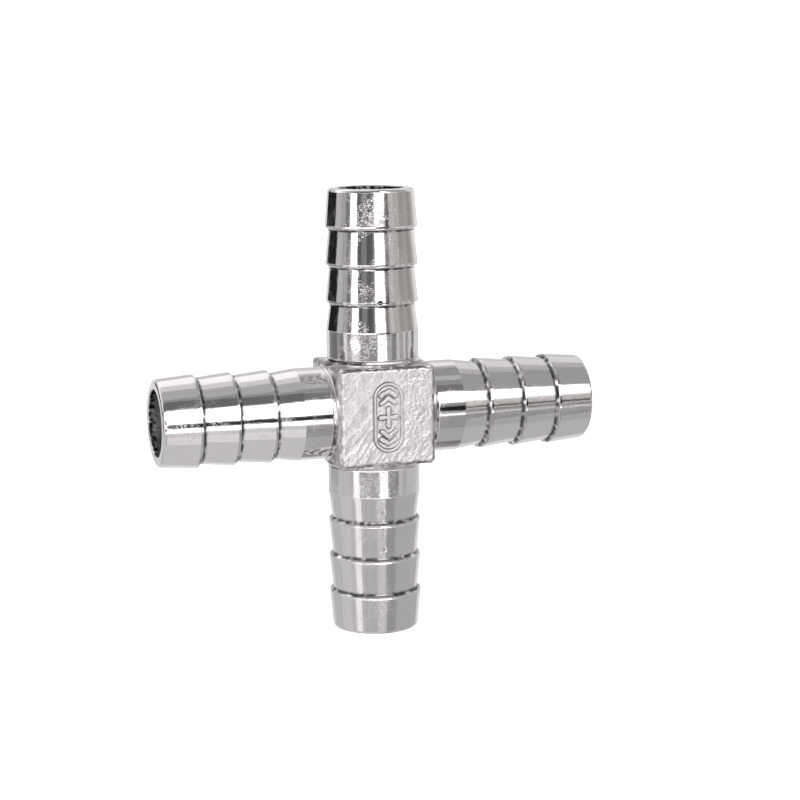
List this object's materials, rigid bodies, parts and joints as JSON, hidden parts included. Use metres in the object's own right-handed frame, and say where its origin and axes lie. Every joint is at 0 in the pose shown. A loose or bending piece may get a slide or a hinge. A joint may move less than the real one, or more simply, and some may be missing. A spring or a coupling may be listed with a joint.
{
  "type": "barbed cross hose connector",
  "caption": "Cross-shaped stainless steel hose connector: barbed tails at right angles round a cast cube, joining or splitting water, air or gas hoses.",
  "frame": {"origin": "where the two bores cross, in the middle of the cube", "axes": "+X along the right tail, +Z along the top tail, -Y is the face with the raised mark; upright as in the picture"},
  "size_m": [0.0608, 0.014, 0.0608],
  "materials": {
    "cast_skin": "investment-cast skin, blasted to an even fine grain",
    "turned_steel": "turned and polished, with fine lines round the tail",
    "weld_steel": "bright, turned smooth"
  },
  "bodies": {
    "root": {"cast_block": "cast_skin", "tail_top": "turned_steel", "tail_right": "turned_steel", "tail_bottom": "turned_steel", "tail_left": "turned_steel", "weld_top": "weld_steel", "weld_right": "weld_steel", "weld_bottom": "weld_steel", "weld_left": "weld_steel"}
  },
  "joints": []
}
